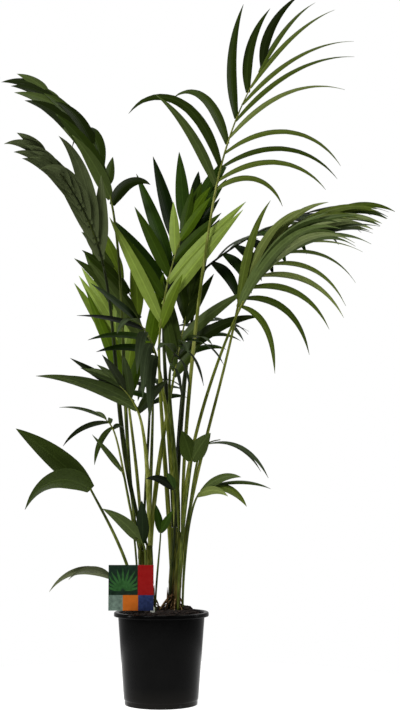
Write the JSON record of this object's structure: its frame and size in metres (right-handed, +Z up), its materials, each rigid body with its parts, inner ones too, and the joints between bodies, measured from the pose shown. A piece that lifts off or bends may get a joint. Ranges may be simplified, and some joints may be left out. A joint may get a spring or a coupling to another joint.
{
  "type": "potted palm",
  "caption": "Feather-leaved indoor palm in clumps, standing in a round black nursery pot with a rolled rim and a plain picture label.",
  "frame": {"origin": "centre of the pot's flat underside", "axes": "+Z up, along the pot's axis; the crown's broad side and the label face -Y"},
  "size_m": [0.9341, 0.6976, 1.7012],
  "materials": {
    "pot": "satin",
    "soil": "matte",
    "label": "gloss",
    "stem": "matte",
    "stalk": "satin",
    "leaf_deep": "satin",
    "leaf_fresh": "satin"
  },
  "bodies": {
    "root": {"pot": "pot", "soil": "soil", "label": "label", "stem_left_back": "stem", "stem_left_front": "stem", "stem_right_back": "stem", "stem_right_front": "stem", "stalk_tall": "stalk", "stalk_right_upper": "stalk", "stalk_right_lower": "stalk", "stalk_middle": "stalk", "stalk_middle_low": "stalk", "stalk_left_upper": "stalk", "stalk_left_middle": "stalk", "stalk_left_bright": "stalk", "stalk_near": "stalk", "stalk_left_low": "stalk", "stalk_left_tuft": "stalk", "stalk_left_spray": "stalk", "stalk_left_pair": "stalk", "stalk_foot_pair": "stalk", "stalk_inner_pair": "stalk", "stalk_small_pair": "stalk", "stalk_dark_blade": "stalk", "stalk_right_pair": "stalk", "stalk_right_arch": "stalk", "stalk_right_low": "stalk", "stalk_back_left": "stalk", "stalk_back_right": "stalk", "stalk_back_middle": "stalk", "stalk_right_plume": "stalk", "stalk_middle_bright": "stalk", "stalk_near_right": "stalk", "frond_tall": "leaf_deep", "frond_right_upper": "leaf_deep", "frond_right_lower": "leaf_deep", "frond_middle": "leaf_deep", "frond_middle_low": "leaf_deep", "frond_left_upper": "leaf_deep", "frond_left_middle": "leaf_deep", "frond_left_bright": "leaf_fresh", "frond_near": "leaf_deep", "frond_left_low": "leaf_deep", "frond_left_tuft": "leaf_deep", "frond_left_spray": "leaf_deep", "frond_left_pair": "leaf_deep", "frond_foot_pair": "leaf_deep", "frond_inner_pair": "leaf_deep", "frond_small_pair": "leaf_deep", "frond_dark_blade": "leaf_deep", "frond_right_pair": "leaf_deep", "frond_right_arch": "leaf_deep", "frond_right_low": "leaf_deep", "frond_back_left": "leaf_deep", "frond_back_right": "leaf_deep", "frond_back_middle": "leaf_deep", "frond_right_plume": "leaf_deep", "frond_middle_bright": "leaf_fresh", "frond_near_right": "leaf_deep"}
  },
  "joints": []
}
